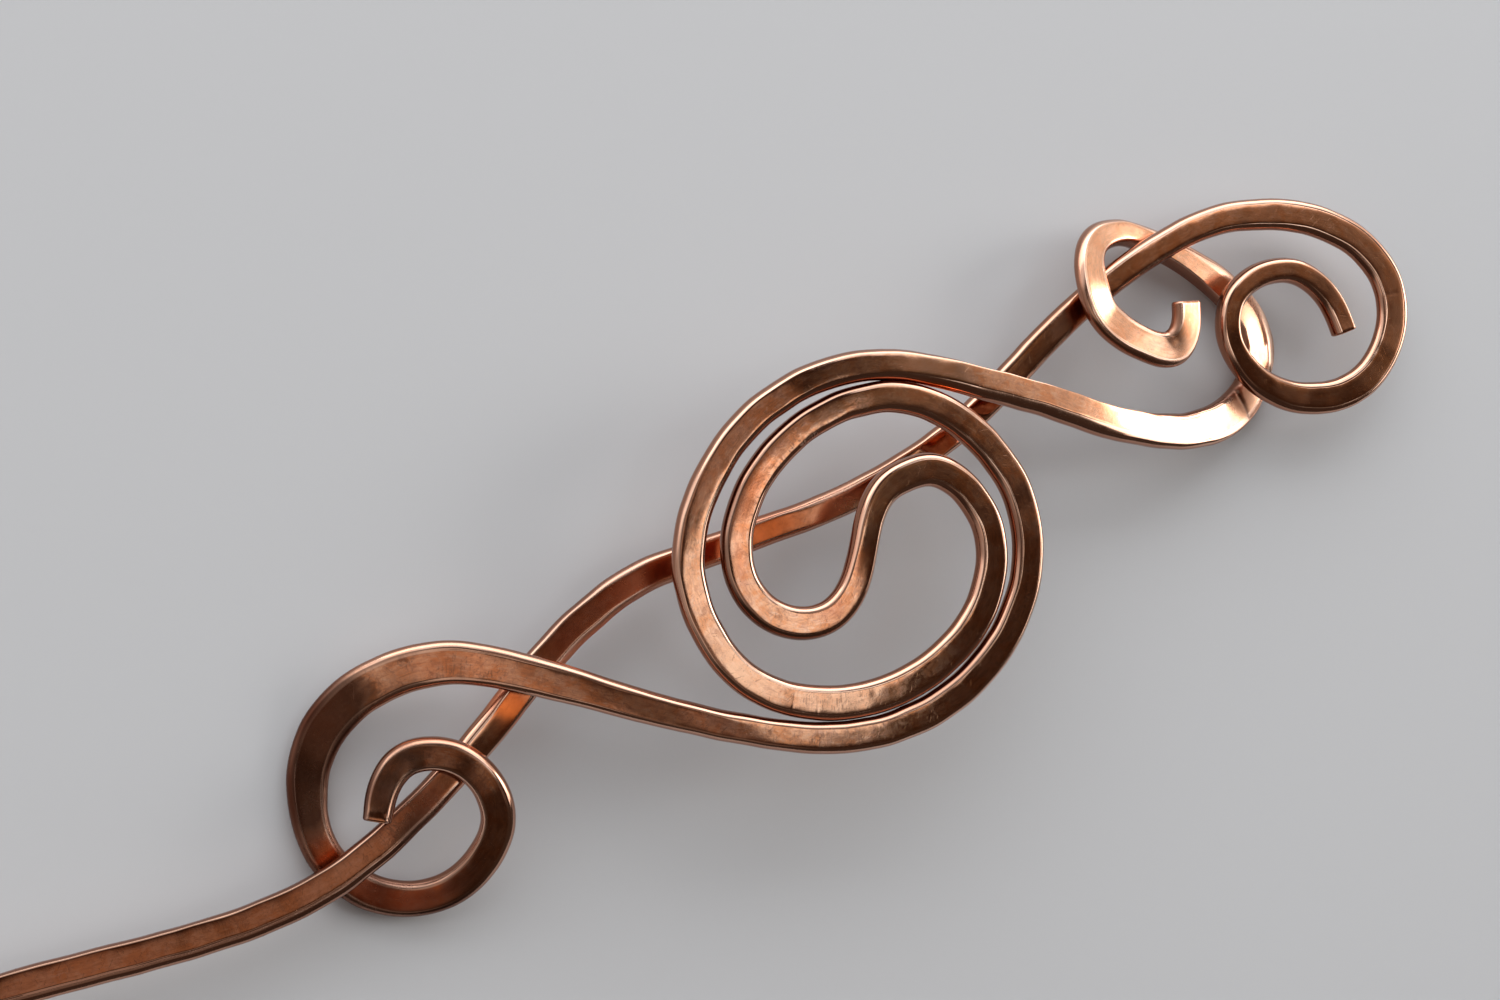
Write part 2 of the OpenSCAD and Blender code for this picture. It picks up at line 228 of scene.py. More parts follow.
def wire(name, rows, at, d, seed, roll, tilt, lean, swell, shift, creases, marks):
    """one flattened wire as a mesh in metres, with the attributes that its material reads"""
    c = curve_at(rows, at)
    x, y, z, w, fall = c.T
    s = np.r_[0, np.cumsum(np.linalg.norm(np.diff(c[:, :2], axis=0), axis=1))]
    t = thickness(d, w)
    swell = np.array(swell, float)
    w = w * (np.interp(at, swell[:, 0], swell[:, 1]) + 0.006 * waves(s, seed, 9) + 0.003 * waves(s, seed + 1, 3.2))
    mid = np.c_[x, y, z + t / 2] + spiral_place
    run = unit(np.gradient(mid, s, axis=0))
    up = np.c_[fall, np.zeros(len(c)), np.ones(len(c))]
    up = unit(up - (up * run).sum(1)[:, None] * run)
    side = np.cross(run, up)
    roll, tilt, lean = np.array(roll, float), np.array(tilt, float), np.array(lean, float)
    slope = np.tan(np.radians(np.interp(at, tilt[:, 0], tilt[:, 1])))
    off = np.interp(at, lean[:, 0], lean[:, 1])
    a = np.radians(np.interp(at, roll[:, 0], roll[:, 1]) + 0.16 * waves(s, seed + 2, 8) + 0.08 * waves(s, seed + 3, 3.4))[:, None]
    up, side = up * np.cos(a) + side * np.sin(a), side * np.cos(a) - up * np.sin(a)
    shift = np.array(shift, float)
    mid[:, :2] += side[:, :2] * (np.interp(at, shift[:, 0], shift[:, 1]) + 0.02 * waves(s, seed + 4, 6))[:, None]
    top_wave = 0.0045 * waves(s, seed + 5, 7.5) + 0.0012 * waves(s, seed + 6, 2.6)
    n = len(at)
    rings, along, across, flat, rim_wear_and_sheen, underside_shade = [], [], [], [], [], []
    # masks that the material reads; besides tarnish, wear and roughness, several paint shade, reflections and
    # highlights
    kinds = {k: [] for k in ("patina", "red_shade", "orange_reflection", "clean", "scuff", "orange_highlight", "dark_shade", "matte", "crease_shade")}
    shares = flat_share + 0.012 * waves(s, seed + 7, 7)
    left_drop, right_drop = 0.003 * waves(s, seed + 8, 3.6), 0.003 * waves(s, seed + 9, 4.2)
    for i in range(n):
        p = ring(w[i], t[i], shares[i], off[i])
        half = w[i] / 2
        v = p[:, 0] / half
        q = p[:, :2].copy()
        on_top = np.clip(p[:, 1] / (t[i] / 2), 0, 1) ** 2
        q[:, 1] += on_top * (top_wave[i] - slope[i] * q[:, 0])
        q[:, 1] += on_top * np.where(v > 0, right_drop[i], left_drop[i]) * np.clip(abs(v) / 0.6, 0, 1) ** 4
        # the pressed creases are also marked for painted shade
        crease_shade = np.zeros(len(p))
        for row, slant, width, depth, v0, v1 in creases:
            place = (at[i] - row) - slant * v
            inside = np.clip((v - v0) / 0.1 + 0.5, 0, 1) * np.clip((v1 - v) / 0.1 + 0.5, 0, 1)
            press = on_top * np.exp(-(place / width) ** 2) * inside
            q[:, 1] -= depth * press
            crease_shade = np.maximum(crease_shade, press * min(1, depth / 0.03))
        rings.append(mid[i] + q[:, :1] * side[i] + q[:, 1:] * up[i])
        along.append(np.full(len(p), s[i]))
        across.append(p[:, 2])
        flat.append(p[:, 3])
        rim_wear_and_sheen.append(p[:, 4])
        underside_shade.append(p[:, 5])
        for k in kinds:
            total = np.zeros(len(p))
            for kind, row, half_rows, v_mid, v_half, strength in marks:
                if kind == k and abs(at[i] - row) < 3 * half_rows:
                    total += strength * bump_at(at[i], row, half_rows) * bump_at(v, v_mid, v_half)
            kinds[k].append(crease_shade if k == "crease_shade" else np.clip(total, 0, 1))

    # filed ends: the last rings draw in over a quarter of a millimetre
    def end(i, way):
        out = []
        for g in (0.35, 0.7, 1.0, 1.25, 1.45):
            reach = 0.25 * math.sin(g)
            inset = 0.25 * (1 - math.cos(g))
            p = ring(w[i] - 2 * inset, t[i] - 2 * inset, shares[i] + 0.05, off[i])
            out.append(mid[i] + way * run[i] * reach + p[:, :1] * side[i] + (p[:, 1:2] + top_wave[i] - slope[i] * p[:, :1] * (p[:, 1:2] > 0)) * up[i])
        return out
    first, last = end(0, -1), end(n - 1, 1)
    body = first[::-1] + rings + last
    pad0, pad1 = len(first), len(last)

    def padded(values):
        return np.array([values[0]] * pad0 + list(values) + [values[-1]] * pad1)
    points = np.array(body)
    m, k = points.shape[:2]
    i, j = np.meshgrid(np.arange(m - 1), np.arange(k), indexing="ij")
    quads = np.stack([i * k + j, (i + 1) * k + j, (i + 1) * k + (j + 1) % k, i * k + (j + 1) % k], -1).reshape(-1, 4)
    verts = points.reshape(-1, 3)
    tri = verts[quads[:, [0, 1, 2]]]
    tri2 = verts[quads[:, [0, 2, 3]]]
    volume = np.einsum("ij,ij->", tri[:, 0], np.cross(tri[:, 1], tri[:, 2])) + np.einsum("ij,ij->", tri2[:, 0], np.cross(tri2[:, 1], tri2[:, 2]))
    faces = quads.tolist() + [list(range(k))[::-1], list(range((m - 1) * k, m * k))]
    if volume < 0:
        faces = [f[::-1] for f in faces]
    mesh = bpy.data.meshes.new(name)
    mesh.from_pydata((verts * MM).tolist(), [], faces)
    mesh.update()
    mesh.polygons.foreach_set("use_smooth", [True] * (len(faces) - 2) + [False, False])

    def store(label, values):
        attribute = mesh.attributes.new(label, "FLOAT", "POINT")
        attribute.data.foreach_set("value", np.asarray(values, np.float32).ravel())
    store("along", padded(along))
    store("across", padded(across))
    store("flat", padded(flat))
    store("rim_wear_and_sheen", padded(rim_wear_and_sheen))
    store("underside_shade", padded(underside_shade))
    for label, values in kinds.items():
        store(label, padded(values))
    # unrolled wire: 10 mm of length to one unit
    uv = mesh.uv_layers.new(name="unrolled")
    corner = np.zeros(len(mesh.loops), np.int32)
    mesh.loops.foreach_get("vertex_index", corner)
    flat_along, flat_across = padded(along).ravel(), padded(across).ravel()
    uv.data.foreach_set("uv", np.c_[flat_along[corner], flat_across[corner]].astype(np.float32).ravel() / 10)
    obj = bpy.data.objects.new(name, mesh)
    bpy.context.scene.collection.objects.link(obj)
    return obj


# ---------------------------------------------------------------- copper
class Tree:
    """short calls for building a node tree"""

    def __init__(self, name):
        self.mat = bpy.data.materials.new(name)
        self.mat.use_nodes = True
        self.nt = self.mat.node_tree
        self.nt.nodes.clear()

    def new(self, kind, **settings):
        node = self.nt.nodes.new(kind)
        for k, v in settings.items():
            setattr(node, k, v)
        return node

    def put(self, value, socket):
        if isinstance(value, bpy.types.NodeSocket):
            self.nt.links.new(value, socket)
        else:
            socket.default_value = value

    def attr(self, name):
        return self.new("ShaderNodeAttribute", attribute_name=name).outputs["Fac"]

    def math(self, op, a, b=0.0, clamp=False):
        node = self.new("ShaderNodeMath", operation=op, use_clamp=clamp)
        self.put(a, node.inputs[0])
        self.put(b, node.inputs[1])
        return node.outputs[0]

    def vector(self, x, y, z=0.0):
        node = self.new("ShaderNodeCombineXYZ")
        for v, s in zip((x, y, z), node.inputs):
            self.put(v, s)
        return node.outputs[0]

    def noise(self, vector, scale, detail=2.0, rough=0.5, distortion=0.0):
        node = self.new("ShaderNodeTexNoise", noise_dimensions="3D")
        self.put(vector, node.inputs["Vector"])
        node.inputs["Scale"].default_value = scale
        node.inputs["Detail"].default_value = detail
        node.inputs["Roughness"].default_value = rough
        node.inputs["Distortion"].default_value = distortion
        return node.outputs["Fac"]

    def span(self, value, lo, hi, to_lo=0.0, to_hi=1.0, smooth=True):
        node = self.new("ShaderNodeMapRange", interpolation_type="SMOOTHSTEP" if smooth else "LINEAR")
        self.put(value, node.inputs["Value"])
        node.inputs["From Min"].default_value = lo
        node.inputs["From Max"].default_value = hi
        node.inputs["To Min"].default_value = to_lo
        node.inputs["To Max"].default_value = to_hi
        return node.outputs["Result"]

    def mix(self, amount, a, b):
        node = self.new("ShaderNodeMix", data_type="RGBA", blend_type="MIX")
        self.put(amount, node.inputs["Factor"])
        self.put(a, node.inputs["A"])
        self.put(b, node.inputs["B"])
        return node.outputs["Result"]


def rgb(r, g, b):
    return (r, g, b, 1.0)


def copper(name, shift, redness):
    """polished hammered copper: cloudy tarnish, fine brush lines, scratches, specks, dark patina, worn ridges that are
    also painted lighter as highlights, painted shade on lower sides, bevels and creases, and painted orange reflections
    and highlights
    """
    t = Tree(name)
    along, across = t.attr("along"), t.attr("across")
    flat, rim_wear_and_sheen, underside_shade = t.attr("flat"), t.attr("rim_wear_and_sheen"), t.attr("underside_shade")
    patina, red_shade, orange_reflection = t.attr("patina"), t.attr("red_shade"), t.attr("orange_reflection")
    clean, scuff, crease_shade = t.attr("clean"), t.attr("scuff"), t.attr("crease_shade")
    orange_highlight, dark_shade, matte = t.attr("orange_highlight"), t.attr("dark_shade"), t.attr("matte")
    place = t.vector(t.math("ADD", along, shift), across, 0.0)     # millimetres on the unrolled wire
    place2 = t.vector(t.math("ADD", along, shift + 60), across, 5.0)
    cloud = t.noise(place, 0.42, 3.0, 0.62, 0.5)                   # patches of 2 to 3 mm
    mottle = t.noise(place2, 1.5, 4.0, 0.70, 0.9)                  # uneven patches under 1 mm
    tint = t.noise(place2, 0.42, 3.0, 0.6, 0.4)
    smear = t.noise(t.vector(t.math("MULTIPLY", along, 0.8), t.math("MULTIPLY", across, 2.2), shift + 21), 1.0, 4.0, 0.70, 0.6)
    speck = t.span(t.noise(place2, 6.5, 1.0, 0.5), 0.70, 0.78)
    brush = t.noise(t.vector(t.math("MULTIPLY", along, 5.0), t.math("MULTIPLY", across, 0.45), shift), 1.0, 3.0, 0.7)
    brush2 = t.noise(t.vector(t.math("MULTIPLY", along, 0.35), t.math("MULTIPLY", across, 6.0), shift + 7), 1.0, 3.0, 0.65)
    # sparse scratches that run aslant
    slant_a = t.vector(t.math("MULTIPLY", t.math("ADD", along, t.math("MULTIPLY", across, 0.7)), 6.0),
                       t.math("MULTIPLY", t.math("SUBTRACT", across, t.math("MULTIPLY", along, 0.7)), 0.5), shift + 3)
    slant_b = t.vector(t.math("MULTIPLY", t.math("SUBTRACT", along, t.math("MULTIPLY", across, 0.45)), 7.0),
                       t.math("MULTIPLY", t.math("ADD", across, t.math("MULTIPLY", along, 0.45)), 0.6), shift + 11)
    scratch = t.math("MAXIMUM", t.span(t.noise(slant_a, 1.0, 1.0, 0.5), 0.68, 0.76), t.span(t.noise(slant_b, 1.0, 1.0, 0.5), 0.70, 0.78))

    base = t.mix(t.span(cloud, 0.36, 0.64), rgb(0.93, 0.50, 0.30), rgb(0.86, 0.40, 0.21))
    base = t.mix(t.math("MULTIPLY", t.span(mottle, 0.44, 0.62), 0.72), base, rgb(0.70, 0.38, 0.26))
    base = t.mix(t.math("MULTIPLY", t.span(tint, 0.47, 0.60), 0.75), base, rgb(0.80, 0.29, 0.11))
    brown = t.span(t.math("ADD", t.math("MULTIPLY", cloud, 0.5), t.math("MULTIPLY", mottle, 0.5)), 0.53, 0.64)
    base = t.mix(t.math("MULTIPLY", brown, 0.68), base, rgb(0.44, 0.19, 0.10))
    base = t.mix(t.math("MULTIPLY", t.span(smear, 0.50, 0.64), 0.62), base, rgb(0.50, 0.23, 0.13))
    base = t.mix(t.math("MULTIPLY", t.span(smear, 0.47, 0.34), 0.60), base, rgb(0.96, 0.60, 0.42))
    base = t.mix(t.math("MULTIPLY", t.span(brush2, 0.40, 0.66), 0.30), base, rgb(0.50, 0.25, 0.16))
    base = t.mix(t.math("MULTIPLY", t.span(brush, 0.40, 0.72), 0.16), base, rgb(0.60, 0.30, 0.19))
    base = t.mix(t.math("MULTIPLY", clean, 0.8), base, rgb(0.96, 0.57, 0.37))
    base = t.mix(t.span(mottle, 0.3, 0.7, 0.8 * redness, redness), base, rgb(0.80, 0.31, 0.14))
    # painted reflection: dark orange where the wire mirrors nearby lit copper
    base = t.mix(t.math("MULTIPLY", orange_reflection, 0.95), base, rgb(0.55, 0.115, 0.032))
    # painted shade: deep red-brown on the bottom of the left curl and on the stick where it runs under the frame
    base = t.mix(t.math("MULTIPLY", red_shade, t.span(mottle, 0.2, 0.8, 0.95, 0.75)), base, rgb(0.30, 0.052, 0.017))
    dark = t.math("MULTIPLY", patina, t.span(t.math("ADD", t.math("MULTIPLY", mottle, 0.6), t.math("MULTIPLY", patina, 0.6)), 0.46, 0.66), True)
    base = t.mix(t.math("MULTIPLY", dark, 0.94), base, rgb(0.085, 0.034, 0.020))
    marked = t.math("MULTIPLY", scuff, t.span(t.math("ADD", t.math("MULTIPLY", brush, 0.6), t.math("MULTIPLY", mottle, 0.5)), 0.56, 0.66), True)
    base = t.mix(t.math("MULTIPLY", marked, 0.6), base, rgb(0.30, 0.16, 0.10))
    base = t.mix(t.math("MULTIPLY", scratch, 0.35), base, rgb(0.34, 0.18, 0.12))
    base = t.mix(t.math("MULTIPLY", speck, 0.45), base, rgb(0.30, 0.16, 0.11))
    # painted shade: dark in the pressed creases
    base = t.mix(t.math("MULTIPLY", crease_shade, 0.85), base, rgb(0.14, 0.055, 0.032))
    bared = t.math("MULTIPLY", t.math("SUBTRACT", 1.0, flat), t.math("SUBTRACT", 0.70, t.math("MULTIPLY", patina, 0.5)))
    base = t.mix(bared, base, rgb(0.90, 0.57, 0.43))
    # painted shade: the lower sides and underside darkened to dark red-brown
    base = t.mix(t.math("MULTIPLY", underside_shade, 0.78), base, rgb(0.27, 0.085, 0.038))
    # painted highlight: bright orange patches where lit copper is mirrored
    base = t.mix(t.math("MULTIPLY", orange_highlight, 0.95), base, rgb(0.96, 0.22, 0.045))
    # worn rim of the flat: bared copper, also painted lighter as a highlight line
    base = t.mix(t.math("MULTIPLY", rim_wear_and_sheen, t.math("SUBTRACT", 0.70, t.math("MULTIPLY", patina, 0.5))), base, rgb(0.96, 0.64, 0.48))
    # painted shade: near-black along the side bevels and on patches that lie in shade
    base = t.mix(t.math("MULTIPLY", dark_shade, 0.95), base, rgb(0.10, 0.030, 0.016))

    rough = t.span(cloud, 0.3, 0.7, 0.055, 0.095)
    rough = t.math("ADD", rough, t.span(mottle, 0.4, 0.7, 0.0, 0.035))
    rough = t.math("ADD", rough, t.math("MULTIPLY", t.math("SUBTRACT", 1.0, flat), 0.05))
    rough = t.math("ADD", rough, t.math("MULTIPLY", dark, 0.18))
    rough = t.math("ADD", rough, t.math("MULTIPLY", red_shade, 0.16))
    rough = t.math("ADD", rough, t.math("MULTIPLY", orange_reflection, 0.12))
    rough = t.math("ADD", rough, t.math("MULTIPLY", marked, 0.12))
    rough = t.math("ADD", rough, t.math("MULTIPLY", matte, 0.36))
    rough = t.math("ADD", rough, t.math("MULTIPLY", rim_wear_and_sheen, -0.03), True)

    height = t.math("MULTIPLY", mottle, 0.75)
    height = t.math("ADD", height, t.math("MULTIPLY", brush, 0.20))
    height = t.math("ADD", height, t.math("MULTIPLY", brush2, 0.14))
    height = t.math("SUBTRACT", height, t.math("MULTIPLY", scratch, 0.35))
    height = t.math("SUBTRACT", height, t.math("MULTIPLY", speck, 0.25))
    bump = t.new("ShaderNodeBump")
    bump.inputs["Strength"].default_value = 1.0
    bump.inputs["Distance"].default_value = 0.0028 * MM
    t.put(height, bump.inputs["Height"])

    shader = t.new("ShaderNodeBsdfPrincipled")
    shader.inputs["Metallic"].default_value = 1.0
    t.put(base, shader.inputs["Base Color"])
    t.put(rough, shader.inputs["Roughness"])
    t.put(bump.outputs[0], shader.inputs["Normal"])
    out = t.new("ShaderNodeOutputMaterial")
    t.nt.links.new(shader.outputs[0], out.inputs[0])
    return t.mat


# ---------------------------------------------------------------- the two pieces
frame_rows = (left_curl + left_wave + outer_turn_right + inner_turn_left + s_bend + inner_turn_right
              + outer_turn_left + right_wave + right_curl)
frame_rows = [[r[0], r[1], arch_z(r[0]) + r[2], r[3], face_fall(r[0])] for r in frame_rows]
stick_under = stick_z - float(thickness(stick_wire_d, np.array(2.8))) / 2
stick_rows = [[r[0], r[1], stick_under, r[2], 0] for r in stick_curl + stick_shaft]

# creases pressed into the top: [row, slant in rows from middle to edge, half width in rows, depth, from, to]
frame_creases = [
    [69.56, 0.05, 0.05, 0.075, -1.1, 1.1],
    [53.05, 0.02, 0.012, 0.007, -0.7, 0.4],
    [52.60, 0.01, 0.012, 0.006, -0.7, 0.0],
    [52.20, -0.02, 0.010, 0.006, -0.1, 0.6],
    [51.55, 0.02, 0.012, 0.007, 0.1, 0.8],
    [34.60, 0.05, 0.010, 0.012, -0.8, -0.1],
    [33.90, -0.04, 0.010, 0.012, -0.9, -0.3],
    [17.55, 0.03, 0.010, 0.008, -0.5, 0.3],
]
stick_creases = [[35.1, 0.05, 0.02, 0.012, -0.9, 0.2], [13.2, 0.02, 0.015, 0.008, -0.8, 0.3]]

# marks on the surface: [kind, row, half length in rows, place across from -1 to 1, half width, strength]
# several kinds paint light: dark red and near-black painted shade, orange painted reflections and orange painted
# highlights
frame_marks = [
    ["patina", 14.9, 0.55, -0.6, 0.45, 1.0], ["patina", 14.3, 0.75, 0.0, 1.4, 1.0], ["patina", 13.3, 0.9, 0.0, 1.6, 0.95],
    ["patina", 12.2, 0.7, -0.1, 1.5, 1.0], ["patina", 15.4, 0.4, 0.2, 0.5, 0.5], ["patina", 0.8, 0.8, 0.0, 1.6, 0.85],
    ["patina", 2.1, 0.6, 0.1, 1.3, 1.0], ["patina", 14.8, 0.5, 0.4, 0.7, 0.6],
    ["patina", 16.2, 0.3, -0.5, 0.4, 0.5], ["patina", 7.0, 0.5, 0.0, 1.2, 0.3],
    ["red_shade", 11.3, 0.6, 0.0, 1.4, 0.95], ["red_shade", 10.2, 0.9, 0.0, 1.6, 1.0], ["red_shade", 8.8, 1.0, 0.0, 1.4, 0.9],
    ["red_shade", 7.6, 0.8, 0.2, 0.9, 0.6], ["red_shade", 5.0, 1.2, 0.6, 0.5, 0.4],
    ["scuff", 52.3, 0.7, 0.0, 0.9, 0.75], ["scuff", 51.2, 0.5, 0.0, 0.9, 0.6], ["scuff", 24.0, 0.7, 0.0, 0.9, 0.8],
    ["scuff", 17.2, 0.8, 0.1, 0.9, 0.8], ["scuff", 22.5, 0.8, 0.2, 0.8, 0.6],
    ["scuff", 34.0, 0.5, -0.5, 0.5, 1.0], ["scuff", 35.2, 0.8, -0.6, 0.3, 0.6], ["patina", 33.8, 0.35, -0.7, 0.25, 0.8],
    ["clean", 57.0, 1.4, 0.0, 1.2, 0.3], ["clean", 36.0, 0.8, 0.4, 0.5, 0.2],
    ["orange_highlight", 35.2, 0.7, 0.0, 0.5, 0.45], ["orange_highlight", 36.5, 0.3, -0.1, 0.3, 0.3], ["scuff", 35.6, 0.5, 0.7, 0.3, 0.9], ["orange_reflection", 36.8, 0.5, 0.2, 0.4, 0.35], ["orange_reflection", 28.0, 0.8, 0.7, 0.3, 0.3], ["dark_shade", 28.0, 1.6, 0.95, 0.25, 0.7],
    ["orange_reflection", 16.8, 0.8, 0.0, 0.9, 0.25], ["orange_reflection", 41.5, 0.3, -0.3, 0.3, 0.4],
    ["patina", 38.2, 0.5, -0.2, 0.8, 0.4], ["orange_reflection", 39.9, 0.5, -0.3, 0.7, 0.45], ["patina", 41.0, 0.3, 0.3, 0.4, 0.4],
    ["patina", 53.0, 0.25, -0.7, 0.3, 0.5], ["patina", 50.2, 0.6, 0.1, 0.6, 0.6],
    ["clean", 61.3, 0.05, 0.1, 0.5, 1.0], ["clean", 46.6, 0.05, 0.1, 0.12, 1.0],
    ["clean", 67.5, 2.2, 0.0, 1.4, 0.8], ["clean", 77.0, 5.0, 0.0, 1.4, 0.6], ["clean", 54.2, 0.7, 0.0, 1.3, 0.9], ["clean", 52.1, 0.8, 0.0, 1.3, 0.8], ["clean", 32.0, 0.7, 0.0, 0.9, 0.5], ["clean", 62.4, 0.7, 0.0, 1.2, 1.0], ["clean", 43.4, 1.0, 0.0, 1.3, 0.6],
    ["dark_shade", 0.6, 0.9, -0.82, 0.3, 0.8], ["dark_shade", 2.6, 0.8, -0.82, 0.3, 0.3], ["dark_shade", 8.0, 1.0, 0.0, 0.9, 0.55],
    ["dark_shade", 8.2, 1.2, -0.82, 0.3, 0.7], ["dark_shade", 10.6, 1.3, -0.82, 0.3, 0.8], ["dark_shade", 12.8, 1.2, -0.82, 0.3, 1.0], ["dark_shade", 14.4, 0.7, -0.82, 0.3, 0.7],
    ["dark_shade", 10.0, 0.8, 0.85, 0.3, 0.7], ["dark_shade", 12.0, 1.2, 0.85, 0.3, 0.5], ["dark_shade", 14.2, 0.8, 0.85, 0.3, 0.35],
    ["dark_shade", 25.2, 1.9, -0.82, 0.3, 0.6], ["dark_shade", 28.2, 1.2, -0.82, 0.3, 0.5], ["dark_shade", 60.4, 0.9, 0.1, 0.7, 0.35],
    ["dark_shade", 37.4, 1.1, 0.88, 0.25, 0.8], ["dark_shade", 39.2, 0.9, 0.88, 0.25, 0.7], ["dark_shade", 22.3, 0.8, 0.0, 0.9, 0.27],
    ["dark_shade", 14.3, 0.5, 0.0, 0.7, 0.4], ["dark_shade", 33.0, 1.3, 0.85, 0.3, 0.75], ["dark_shade", 35.3, 1.0, 0.85, 0.3, 0.5],
    ["dark_shade", 0.6, 0.7, 0.2, 0.7, 0.5], ["dark_shade", 42.2, 0.5, 0.0, 0.9, 0.2], ["dark_shade", 61.2, 0.5, 0.0, 0.9, 0.2],
    ["dark_shade", 64.8, 0.7, 0.0, 1.0, 0.12], ["dark_shade", 36.1, 0.7, 0.0, 0.9, 0.12],
    ["orange_highlight", 11.0, 0.35, 0.3, 0.7, 0.35], ["orange_highlight", 8.05, 0.12, 0.5, 0.25, 0.35], ["orange_highlight", 41.3, 0.6, 0.0, 0.7, 0.22],
    ["orange_highlight", 62.7, 0.45, 1.0, 0.28, 1.0], ["orange_highlight", 61.3, 1.3, 1.0, 0.25, 0.4], ["orange_highlight", 82.6, 0.6, 0.8, 0.6, 0.35],
    ["matte", 69.6, 0.55, 0.0, 2.0, 0.75], ["clean", 69.8, 0.6, 0.0, 2.0, 1.0], ["clean", 72.0, 1.2, 0.0, 2.0, 1.0], ["matte", 72.3, 1.0, 0.0, 2.0, 0.45], ["matte", 82.0, 1.3, 0.0, 2.0, 0.75], ["matte", 75.8, 2.8, 0.0, 2.0, 0.22]]
# the stick uses the same kinds, painted shade, reflections and highlights among them
stick_marks = [
    ["scuff", 35.0, 0.8, 0.3, 0.6, 0.8], ["orange_reflection", 28.2, 0.9, 0.0, 1.6, 1.3], ["clean", 26.5, 0.6, 0.0, 1.6, 0.9],
    ["red_shade", 30.3, 0.9, 0.0, 1.6, 1.2], ["red_shade", 31.6, 0.55, 0.0, 1.6, 0.8], ["red_shade", 34.5, 0.5, -0.2, 1.2, 0.8],
    ["orange_reflection", 32.72, 0.3, 0.0, 1.6, 1.3], ["orange_highlight", 32.78, 0.2, 0.0, 1.6, 0.55], ["orange_highlight", 28.1, 0.7, 0.0, 1.6, 0.25],
    ["patina", 34.6, 0.5, 0.0, 1.4, 0.5], ["patina", 34.95, 0.35, -0.5, 0.5, 0.6], ["clean", 35.9, 0.5, 0.1, 0.9, 0.6],
    ["dark_shade", 31.2, 0.7, 0.85, 0.3, 0.35], ["dark_shade", 35.3, 0.9, 0.85, 0.3, 0.55], ["dark_shade", 36.9, 0.9, 0.85, 0.3, 0.4],
    ["dark_shade", 38.6, 1.1, 0.85, 0.3, 0.4], ["dark_shade", 40.6, 1.2, 0.85, 0.3, 0.4], ["orange_highlight", 31.2, 1.0, -1.0, 0.3, 0.5],
    ["dark_shade", 34.9, 0.6, -0.85, 0.2, 0.7], ["dark_shade", 36.6, 1.0, -0.85, 0.2, 0.35],
    ["patina", 21.6, 0.7, 0.0, 1.2, 0.7], ["patina", 8.5, 2.0, 0.0, 1.4, 0.25],
    ["matte", 30.6, 1.2, -0.9, 0.2, 0.7], ["matte", 26.6, 0.5, 0.0, 2.0, 0.5], ["dark_shade", 8.4, 2.2, 0.0, 1.0, 0.22],
    ["dark_shade", 17.0, 0.9, 0.0, 1.0, 0.1], ["dark_shade", 21.9, 1.0, 0.0, 1.1, 0.3],
    ["dark_shade", 27.5, 0.8, -0.4, 0.9, 0.24], ["dark_shade", 6.2, 1.2, 0.0, 1.0, 0.12], ["clean", 12.6, 0.8, 0.0, 1.2, 0.4]]

frame_at = np.unique(np.r_[np.linspace(0, 83, 1450), np.linspace(69.0, 70.0, 70), np.linspace(52.4, 53.2, 36)].round(5))
stick_at = np.unique(np.r_[np.linspace(0, 42, 860), np.linspace(36.3, 36.7, 20)].round(5))

frame_wire = wire("frame_wire", frame_rows, frame_at, frame_wire_d, 11, frame_roll, frame_tilt, frame_lean, frame_swell, frame_shift, frame_creases, frame_marks)
stick_wire = wire("stick_wire", stick_rows, stick_at, stick_wire_d, 47, stick_roll, stick_tilt, stick_lean, stick_swell, stick_shift, stick_creases, stick_marks)
frame_wire.data.materials.append(copper("frame_copper", 0.0, 0.08))
stick_wire.data.materials.append(copper("stick_copper", 500.0, 0.45))
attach(frame_wire, "frame")
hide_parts("spiral_frame")
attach(stick_wire, "stick")
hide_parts("hair_stick")

# ---------------------------------------------------------------- floor
floor_mesh = bpy.data.meshes.new("floor")
floor_mesh.from_pydata([(-4, -4, 0), (4, -4, 0), (4, 4, 0), (-4, 4, 0)], [], [(0, 1, 2, 3)])
floor = bpy.data.objects.new("floor", floor_mesh)
bpy.context.scene.collection.objects.link(floor)
ft = Tree("pale_floor")
fs = ft.new("ShaderNodeBsdfPrincipled")
fs.inputs["Base Color"].default_value = rgb(0.70, 0.722, 0.745)
fs.inputs["Roughness"].default_value = 0.75
fs.inputs["Specular IOR Level"].default_value = 0.25
fo = ft.new("ShaderNodeOutputMaterial")
ft.nt.links.new(fs.outputs[0], fo.inputs[0])
floor_mesh.materials.append(ft.mat)

# ---------------------------------------------------------------- lights
# directions on the floor that run to the right and up in the camera's picture
RIGHT = Vector((0.859, -0.512, 0))
UP = Vector((0.512, 0.859, 0))
OBJ = Vector((9, 0, 8)) * MM


def softbox(name, centre, aim, width, height, radiance, colour=(1, 1, 1), along=None):
    """rectangular light that faces aim. along is the direction of its width"""
    data = bpy.data.lights.new(name, "AREA")
    data.shape = "RECTANGLE"
    data.size, data.size_y = width, height
    data.energy = radiance * math.pi * width * height
    data.color = colour
    obj = bpy.data.objects.new(name, data)
    z = (Vector(centre) - Vector(aim)).normalized()
    x = Vector(along) if along is not None else Vector((0, 0, 1)).cross(z)
    x = (x - x.dot(z) * z).normalized()
    y = z.cross(x)
    obj.matrix_world = Matrix.Translation(Vector(centre)) @ Matrix((x, y, z)).transposed().to_4x4()
    obj.visible_camera = False
    bpy.context.scene.collection.objects.link(obj)
    return obj


